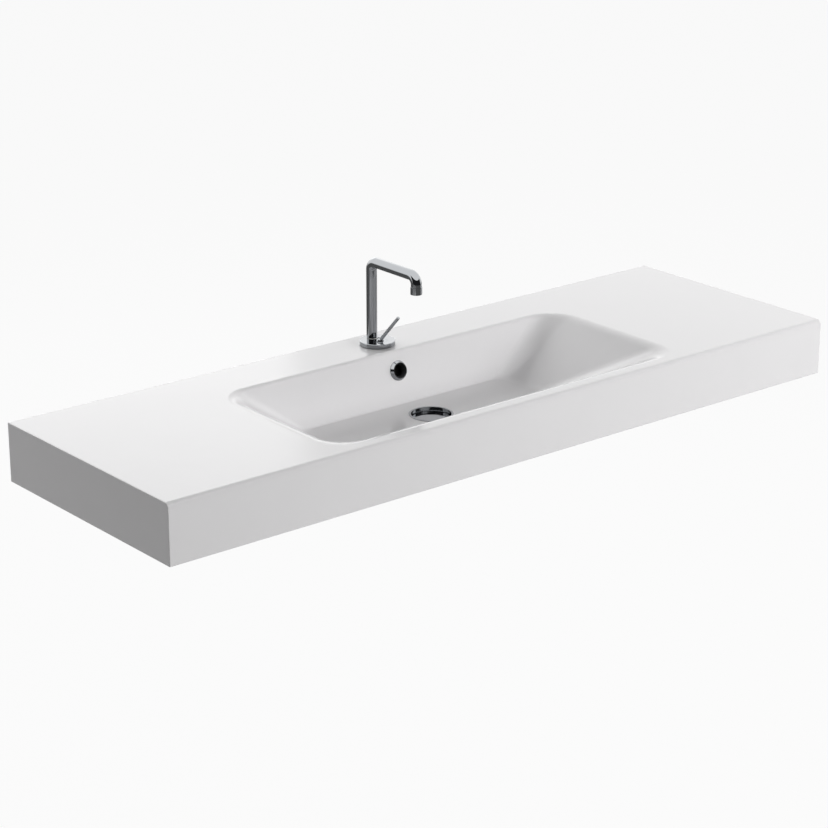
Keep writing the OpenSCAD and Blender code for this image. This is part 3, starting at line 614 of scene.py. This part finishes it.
def turned_normals(mesh, centre, axis=(0, 0, 1), angle=32):
    """Gives faces turned about an axis the normals of their round, so that chrome shows no facets."""
    centre = Vector(centre) * MM
    axis = Vector(axis)
    alike = math.cos(math.radians(angle))

    def outward(point):
        away = point - centre
        return (away - axis * away.dot(axis)).normalized()

    def normal_at(face, vertex):
        up = face.normal.dot(axis)
        out = outward(face.center)
        if abs(face.normal.dot(axis.cross(out))) > OFF_ROUND:
            return face.normal
        reach = math.copysign(math.sqrt(max(0.0, 1 - up * up)), face.normal.dot(out))
        return (outward(mesh.vertices[vertex].co) * reach + axis * up).normalized()

    shade(mesh, angle)
    corners = {}
    for face in mesh.polygons:
        for vertex in face.vertices:
            corners.setdefault(vertex, []).append((normal_at(face, vertex), face.area))
    normals = [None] * len(mesh.loops)
    for face in mesh.polygons:
        for index in face.loop_indices:
            vertex = mesh.loops[index].vertex_index
            own = normal_at(face, vertex)
            total = Vector()
            for there, area in corners[vertex]:
                if there.dot(own) > alike:
                    total += there * area
            normals[index] = total.normalized() if total.length > 0 else own
    mesh.normals_split_custom_set(normals)
    return mesh


def edges_broken(mesh, width):
    """Merges a CAD mesh's split faces and breaks its sharp edges, as on a real turned or moulded part."""
    shape = bmesh.new()
    shape.from_mesh(mesh)
    bmesh.ops.remove_doubles(shape, verts=shape.verts, dist=MERGE)
    bmesh.ops.dissolve_limit(shape, angle_limit=FLAT_ANGLE, verts=shape.verts, edges=shape.edges)
    shape.to_mesh(mesh)
    shape.free()
    return taken(bevel_sharp(linked("scratch", mesh), width, 2, METAL_EDGE))


def softened(name, node, width, material, body, centre, axis=(0, 0, 1)):
    """Copy of a CAD node with its sharp edges broken."""
    mesh = edges_broken(frame["nodes"][node].data.copy(), width)
    return new_piece(name, turned_normals(mesh, centre, axis), (material,), body, node)


def make_overflow_trim():
    """Builds the overflow's ring: plated outside, with painted shade inside its mouth."""
    centre = Vector((0, back_wall_y(OVERFLOW_Z), OVERFLOW_Z))
    axis = Vector((0, -math.sin(BACK_ANGLE), math.cos(BACK_ANGLE)))
    trim = softened("overflow_trim", "overflow_ring", 0.2, "chrome_plated_brass", "basin", centre, axis)
    trim.data.materials.append(MATERIALS["ring_mouth_painted_shade"])
    # Faces inside the ring's mouth get the painted shade
    for face in trim.data.polygons:
        away = face.center - centre * MM
        away -= axis * away.dot(axis)
        if away.length < OVERFLOW_MOUTH_R * MM and face.normal.dot(away) < 0:
            face.material_index = 1


def tree_input(tree, name, kind, value=None):
    """Adds a named input to a node tree and gives its identifier."""
    socket = tree.interface.new_socket(name=name, in_out="INPUT", socket_type=kind)
    if value is not None:
        socket.default_value = value
    return socket.identifier


def pipe_tree():
    """Node tree that sweeps a round tube along a bent line of edges."""
    tree = bpy.data.node_groups.new("Bent pipe", "GeometryNodeTree")
    tree_input(tree, "Line", "NodeSocketGeometry")
    names = {
        "radius": tree_input(tree, "Tube radius", "NodeSocketFloat", PIPE_R * MM),
        "bend": tree_input(tree, "Bend radius", "NodeSocketFloat", BEND_R * MM),
        "steps": tree_input(tree, "Bend steps", "NodeSocketInt", BEND_STEPS),
        "sides": tree_input(tree, "Tube sides", "NodeSocketInt", ROUND_STEPS),
        "finish": tree_input(tree, "Finish", "NodeSocketMaterial")}
    tree.interface.new_socket(name="Pipe", in_out="OUTPUT", socket_type="NodeSocketGeometry")
    given = add_node(tree, "NodeGroupInput")
    line = add_node(tree, "GeometryNodeMeshToCurve", {"Mesh": given.outputs["Line"]})
    bent = add_node(tree, "GeometryNodeFilletCurve", {
        "Curve": line.outputs["Curve"], "Radius": given.outputs["Bend radius"]}, mode="POLY")
    tree.links.new(given.outputs["Bend steps"], bent.inputs["Count"])
    round_profile = add_node(tree, "GeometryNodeCurvePrimitiveCircle", {
        "Radius": given.outputs["Tube radius"], "Resolution": given.outputs["Tube sides"]})
    tube = add_node(tree, "GeometryNodeCurveToMesh", {
        "Curve": bent.outputs["Curve"], "Profile Curve": round_profile.outputs["Curve"]})
    real = add_node(tree, "GeometryNodeRealizeInstances", {"Geometry": tube.outputs["Mesh"]})
    finished = add_node(tree, "GeometryNodeSetMaterial", {
        "Geometry": real.outputs["Geometry"], "Material": given.outputs["Finish"]})
    add_node(tree, "NodeGroupOutput", {"Pipe": finished.outputs["Geometry"]})
    return tree, names


def thread_tree():
    """Node tree that winds a rounded thread round Z."""
    tree = bpy.data.node_groups.new("Pipe thread", "GeometryNodeTree")
    tree_input(tree, "Base", "NodeSocketGeometry")
    names = {
        "radius": tree_input(tree, "Thread radius", "NodeSocketFloat", 0.02),
        "ridge": tree_input(tree, "Ridge radius", "NodeSocketFloat", 0.0007),
        "length": tree_input(tree, "Length", "NodeSocketFloat", 0.02),
        "turns": tree_input(tree, "Turns", "NodeSocketFloat", 10.0),
        "steps": tree_input(tree, "Steps per turn", "NodeSocketInt", THREAD_STEPS),
        "finish": tree_input(tree, "Finish", "NodeSocketMaterial")}
    tree.interface.new_socket(name="Thread", in_out="OUTPUT", socket_type="NodeSocketGeometry")
    given = add_node(tree, "NodeGroupInput")
    coil = add_node(tree, "GeometryNodeCurveSpiral", {
        "Resolution": given.outputs["Steps per turn"], "Rotations": given.outputs["Turns"],
        "Start Radius": given.outputs["Thread radius"], "End Radius": given.outputs["Thread radius"],
        "Height": given.outputs["Length"]})
    ridge = add_node(tree, "GeometryNodeCurvePrimitiveCircle", {
        "Radius": given.outputs["Ridge radius"], "Resolution": 8})
    wound = add_node(tree, "GeometryNodeCurveToMesh", {
        "Curve": coil.outputs["Curve"], "Profile Curve": ridge.outputs["Curve"], "Fill Caps": True})
    real = add_node(tree, "GeometryNodeRealizeInstances", {"Geometry": wound.outputs["Mesh"]})
    finished = add_node(tree, "GeometryNodeSetMaterial", {
        "Geometry": real.outputs["Geometry"], "Material": given.outputs["Finish"]})
    add_node(tree, "NodeGroupOutput", {"Thread": finished.outputs["Geometry"]})
    return tree, names


def from_tree(made, base, values):
    """Runs a node tree on a base mesh and gives the result as a plain mesh."""
    tree, names = made
    scratch = linked("scratch", base)
    step = scratch.modifiers.new("nodes", "NODES")
    step.node_group = tree
    for key, value in values.items():
        step[names[key]] = value
    return baked(scratch)


def threaded(name, node, width, axis_y, radius, thread, material, body):
    """Softened copy of a CAD node whose plain outer thread gets real turns."""
    low, high, depth, pitch = thread
    mesh = frame["nodes"][node].data.copy()
    for vertex in mesh.vertices:
        x, y, z = vertex.co / MM
        reach = math.hypot(x, y - axis_y)
        if abs(reach - radius) < THREAD_NEAR and z < high + THREAD_RUNOUT:
            shrink = (radius - depth) / reach
            vertex.co = Vector((x * shrink, axis_y + (y - axis_y) * shrink, z)) * MM
    core = turned_normals(edges_broken(mesh, width), (0, axis_y, 0))
    ridge = depth * RIDGE_SHARE
    coil = from_tree(thread_tree(), bpy.data.meshes.new("base"), {
        "radius": (radius - ridge) * MM, "ridge": ridge * MM, "length": (high - low) * MM,
        "turns": (high - low) / pitch, "steps": THREAD_STEPS, "finish": MATERIALS[material]})
    coil.transform(Matrix.Translation(Vector((0, axis_y, low)) * MM))
    shade(coil, 60)
    face_outward(coil)
    new_piece(name, core, (material,), body, node)
    new_piece(name + "_turns", coil, (material,), body)


def make_pipe():
    """Builds the swivelling spout's bent tube, open at both ends."""
    line = bpy.data.meshes.new("line")
    route = [(0, PIPE_Y, PIPE_FOOT), (0, PIPE_Y, PIPE_AXIS_Z), (0, OUTLET_Y, PIPE_AXIS_Z),
             (0, OUTLET_Y, COLLAR_SEAT)]
    line.from_pydata([Vector(p) * MM for p in route], [(0, 1), (1, 2), (2, 3)], [])
    mesh = from_tree(pipe_tree(), line, {
        "radius": PIPE_R * MM, "bend": BEND_R * MM, "steps": BEND_STEPS, "sides": ROUND_STEPS,
        "finish": MATERIALS["chrome_plated_brass"]})
    face_outward(mesh)
    tube = linked("scratch", mesh)
    wall = tube.modifiers.new("wall", "SOLIDIFY")
    wall.thickness = PIPE_WALL * MM
    wall.offset = -1.0
    wall.use_even_offset = True
    mesh = baked(tube)
    shade(mesh)
    new_piece("spout_tube", mesh, ("chrome_plated_brass",), "spout", "spout_pipe")


def make_lever():
    """Builds the joystick lever's rod, with its domed tip and its peg in the ball."""
    outline = rounded([
        (0, PEG_LOW, 0), (PEG_R, PEG_LOW, PEG_EDGE_R), (PEG_R, LEVER_LOW, 0),
        (LEVER_R, LEVER_LOW, LEVER_EDGE_R), (LEVER_R, LEVER_LEN, LEVER_TIP_R), (0, LEVER_LEN, 0)],
        closed=False, steps=8)
    turn = Matrix.Rotation(LEVER_LEAN, 3, "X")
    mesh = taken(lathe(outline, (0, LEVER_Y, PLATE_TOP), turn, segments=64))
    shade(mesh)
    new_piece("lever_stick", mesh, ("chrome_plated_brass",), "lever", "lever_rod")


def finish_nodes():
    """Gives every CAD node its finish, by the record's material slots."""
    finishes = {
        "fireclay": "white_fireclay_glaze", "chrome": "chrome_plated_brass", "brass": "turned_brass",
        "rubber": "nitrile_rubber", "nylon": "white_nylon", "acetal": "ivory_acetal",
        "aerator_plastic": "grey_aerator_plastic", "steel": "stainless_steel",
        "spring_steel": "stainless_steel", "alumina": "lapped_alumina"}
    for part in frame["record"]["subparts"]:
        mesh = frame["nodes"][part["node"]].data
        mesh.materials.clear()
        mesh.materials.append(MATERIALS[finishes[part["material_slot"]]])


# Stage

def area_lamp(name, place, target, width, height, power):
    """Soft rectangular studio lamp aimed at a point."""
    data = bpy.data.lights.new(name, "AREA")
    data.shape = "RECTANGLE"
    data.size = width
    data.size_y = height
    data.energy = power
    lamp = linked(name, data)
    lamp.location = place
    lamp.rotation_euler = (Vector(target) - Vector(place)).to_track_quat("-Z", "Y").to_euler()
    return lamp


def seen_by(tree, *rays):
    """Gives 1 for rays of the named kinds and 0 for all others."""
    path = add_node(tree, "ShaderNodeLightPath")
    seen = path.outputs[rays[0]]
    for ray in rays[1:]:
        either = add_node(tree, "ShaderNodeMath", {0: seen, 1: path.outputs[ray]}, operation="MAXIMUM")
        seen = either.outputs[0]
    return seen


def pale_world(light, backdrop_light):
    """Soft even light from all round, which the camera and mirrors see as plain white."""
    world = bpy.data.worlds.new("studio")
    bpy.context.scene.world = world
    world.use_nodes = True
    tree = world.node_tree
    tree.nodes.clear()
    seen = seen_by(tree, "Is Camera Ray", "Is Glossy Ray", "Is Transmission Ray")
    dome = add_node(tree, "ShaderNodeBackground", {"Color": linear("FFFFFF"), "Strength": light})
    backdrop = add_node(tree, "ShaderNodeBackground", {"Color": linear("FFFFFF"), "Strength": backdrop_light})
    mix = add_node(tree, "ShaderNodeMixShader", {0: seen, 1: dome.outputs[0], 2: backdrop.outputs[0]})
    add_node(tree, "ShaderNodeOutputWorld", {"Surface": mix.outputs[0]})


def floor_material():
    """Pale floor: the camera sees it nearly as bright as the backdrop, with the object's faint shadow."""
    material = bpy.data.materials.new("pale_floor")
    material.use_nodes = True
    tree = material.node_tree
    tree.nodes.clear()
    seen = seen_by(tree, "Is Camera Ray", "Is Glossy Ray")
    share = add_node(tree, "ShaderNodeMath", {0: seen, 1: FLOOR_GLOW_SHARE}, operation="MULTIPLY")
    paint = add_node(tree, "ShaderNodeBsdfDiffuse", {"Color": linear("F2F2F2")})
    glow = add_node(tree, "ShaderNodeEmission", {"Color": linear("FFFFFF"), "Strength": FLOOR_GLOW})
    mix = add_node(tree, "ShaderNodeMixShader", {
        0: share.outputs[0], 1: paint.outputs[0], 2: glow.outputs[0]})
    add_node(tree, "ShaderNodeOutputMaterial", {"Surface": mix.outputs[0]})
    return material


def painted_reflection_sheet(name, start, end, low, high, code):
    """Dark glowing sheet that only mirrors see, a painted reflection for chrome and glaze; low and high are
    (radius, height).
    """
    points = []
    for k in range(SHEET_STEPS + 1):
        a = math.radians(start + (end - start) * k / SHEET_STEPS)
        for radius, z in (low, high):
            points.append((radius * math.sin(a), -radius * math.cos(a), z))
    faces = [(2 * k, 2 * k + 1, 2 * k + 3, 2 * k + 2) for k in range(SHEET_STEPS)]
    mesh = bpy.data.meshes.new(name)
    mesh.from_pydata(points, [], faces)
    material = bpy.data.materials.new(name)
    material.use_nodes = True
    tree = material.node_tree
    tree.nodes.clear()
    dark_glow = add_node(tree, "ShaderNodeEmission", {"Color": linear(code), "Strength": 1.0})
    add_node(tree, "ShaderNodeOutputMaterial", {"Surface": dark_glow.outputs[0]})
    mesh.materials.append(material)
    sheet = linked(name, mesh)
    sheet.visible_camera = False
    sheet.visible_diffuse = False
    sheet.visible_shadow = False
    sheet.visible_transmission = False


def make_stage(sizes):
    """Sets the camera, the floor, the lamps and the backdrop."""
    data = bpy.data.cameras.new("camera")
    data.sensor_width = CAMERA_SENSOR
    data.lens = CAMERA_LENS
    data.clip_end = CAMERA_REACH
    camera = linked("camera", data)
    camera.location = CAMERA_PLACE
    camera.rotation_euler = (math.radians(90 - CAMERA_DOWN), 0, math.radians(CAMERA_YAW))
    bpy.context.scene.camera = camera
    mesh = bpy.data.meshes.new("floor")
    corners = ((-FLOOR_REACH, -FLOOR_REACH), (FLOOR_REACH, -FLOOR_REACH),
               (FLOOR_REACH, FLOOR_REACH), (-FLOOR_REACH, FLOOR_REACH))
    mesh.from_pydata([(x, y, sizes.floor_height) for x, y in corners], [], [(0, 1, 2, 3)])
    mesh.materials.append(floor_material())
    linked("floor", mesh)
    pale_world(sizes.dome_light, sizes.backdrop_light)
    for name, place, width, height, setting, share, mirrored in SOFTBOXES:
        lamp = area_lamp(name, place, LAMP_TARGET, width, height, share * getattr(sizes, setting))
        lamp.visible_glossy = mirrored
    # Sheets of painted dark reflection in front and on the floor, unseen by the camera and by the light
    ground = sizes.floor_height + SHEET_LIFT
    painted_reflection_sheet("front_painted_reflection", -110, 60, (SHEET_R, ground), (SHEET_R, SHEET_TOP), "303032")
    painted_reflection_sheet("floor_painted_reflection", -180, 180, (0.0, ground), (SHEET_FLOOR_R, ground), "747474")
    bpy.context.scene.view_settings.view_transform = "Standard"


# Add-on

class WashbasinSizes(bpy.types.PropertyGroup):
    """Sizes and light that a user would change."""
    edge_height: bpy.props.FloatProperty(
        name="Edge height", description="Height of the slab's visible edge", default=0.1, unit="LENGTH")
    front_edge_radius: bpy.props.FloatProperty(
        name="Front edge radius", description="Radius of the front top edge", default=0.009, unit="LENGTH")
    floor_height: bpy.props.FloatProperty(
        name="Floor height", description="Height of the studio floor", default=-0.85, unit="LENGTH")
    dome_light: bpy.props.FloatProperty(
        name="Dome light", description="Strength of the even light", default=0.14, subtype="FACTOR")
    backdrop_light: bpy.props.FloatProperty(
        name="Backdrop", description="Strength of the white backdrop", default=1.7)
    back_power: bpy.props.FloatProperty(
        name="Back lamp", description="Power of the lamp over the wall side", default=48.0, unit="POWER")
    key_power: bpy.props.FloatProperty(
        name="Front right lamp", description="Power of the lamp at the front right", default=28.0,
        unit="POWER")
    right_power: bpy.props.FloatProperty(
        name="Right lamp", description="Power of the lamp past the right end", default=16.0, unit="POWER")
    front_power: bpy.props.FloatProperty(
        name="Front lamp", description="Power of the lamp in front", default=44.0, unit="POWER")
    left_power: bpy.props.FloatProperty(
        name="Back left lamps", description="Power of the two lamps at the back left", default=28.0,
        unit="POWER")
    sheen_power: bpy.props.FloatProperty(
        name="Sheen lamp", description="Power of the lamp that the glaze mirrors", default=5.5, unit="POWER")


class WASHBASIN_OT_finishes(bpy.types.Operator):
    """Makes the finishes and gives them to the CAD nodes"""
    bl_idname = "washbasin.finishes"
    bl_label = "Finishes"

    def execute(self, context):
        make_materials()
        finish_nodes()
        return {"FINISHED"}


class WASHBASIN_OT_basin(bpy.types.Operator):
    """Builds the fireclay slab"""
    bl_idname = "washbasin.basin"
    bl_label = "Basin"

    def execute(self, context):
        make_basin(context.scene.washbasin)
        return {"FINISHED"}


class WASHBASIN_OT_waste(bpy.types.Operator):
    """Builds the waste, the plug and the overflow ring"""
    bl_idname = "washbasin.waste"
    bl_label = "Waste and overflow"

    def execute(self, context):
        threaded("waste_dish", "waste_body", 0.25, DRAIN_Y, NECK_R, NECK_THREAD, "chrome_plated_brass",
                 "basin")
        softened("waste_cap", "plug_cap", 0.3, "chrome_plated_brass", "plug", (0, DRAIN_Y, 0))
        make_overflow_trim()
        softened("waste_backnut", "backnut", 0.8, "turned_brass", "basin", (0, DRAIN_Y, 0))
        return {"FINISHED"}


class WASHBASIN_OT_tap(bpy.types.Operator):
    """Builds the tap's base, lever and spout"""
    bl_idname = "washbasin.tap"
    bl_label = "Tap"

    def execute(self, context):
        threaded("tap_base", "tap_body", 0.2, SHANK_Y, SHANK_R, SHANK_THREAD, "chrome_plated_brass", "basin")
        softened("tap_nut", "shank_nut", 0.5, "turned_brass", "basin", (0, SHANK_Y, 0))
        softened("lever_rose", "lever_cover", 0.15, "chrome_plated_brass", "basin", (0, LEVER_Y, 0))
        softened("outlet_collar", "aerator_collar", 0.3, "chrome_plated_brass", "spout", (0, OUTLET_Y, 0))
        make_pipe()
        make_lever()
        return {"FINISHED"}


class WASHBASIN_OT_stage(bpy.types.Operator):
    """Sets up the camera, the floor and the light"""
    bl_idname = "washbasin.stage"
    bl_label = "Stage"

    def execute(self, context):
        make_stage(context.scene.washbasin)
        return {"FINISHED"}


class WASHBASIN_PT_panel(bpy.types.Panel):
    """Lists the washbasin's builders and sizes"""
    bl_label = "Washbasin"
    bl_idname = "WASHBASIN_PT_panel"
    bl_space_type = "VIEW_3D"
    bl_region_type = "UI"
    bl_category = "Washbasin"

    def draw(self, context):
        for name in WashbasinSizes.__annotations__:
            self.layout.prop(context.scene.washbasin, name)
        for operator in OPERATORS:
            self.layout.operator(operator.bl_idname)


OPERATORS = (
    WASHBASIN_OT_finishes, WASHBASIN_OT_basin, WASHBASIN_OT_waste, WASHBASIN_OT_tap, WASHBASIN_OT_stage)
CLASSES = (WashbasinSizes, WASHBASIN_PT_panel) + OPERATORS


def register():
    for each in CLASSES:
        bpy.utils.register_class(each)
    bpy.types.Scene.washbasin = bpy.props.PointerProperty(type=WashbasinSizes)


def unregister():
    del bpy.types.Scene.washbasin
    for each in reversed(CLASSES):
        bpy.utils.unregister_class(each)


def main():
    register()
    bpy.ops.washbasin.finishes()
    bpy.ops.washbasin.basin()
    bpy.ops.washbasin.waste()
    bpy.ops.washbasin.tap()
    bpy.ops.washbasin.stage()


if __name__ == "__main__":
    main()
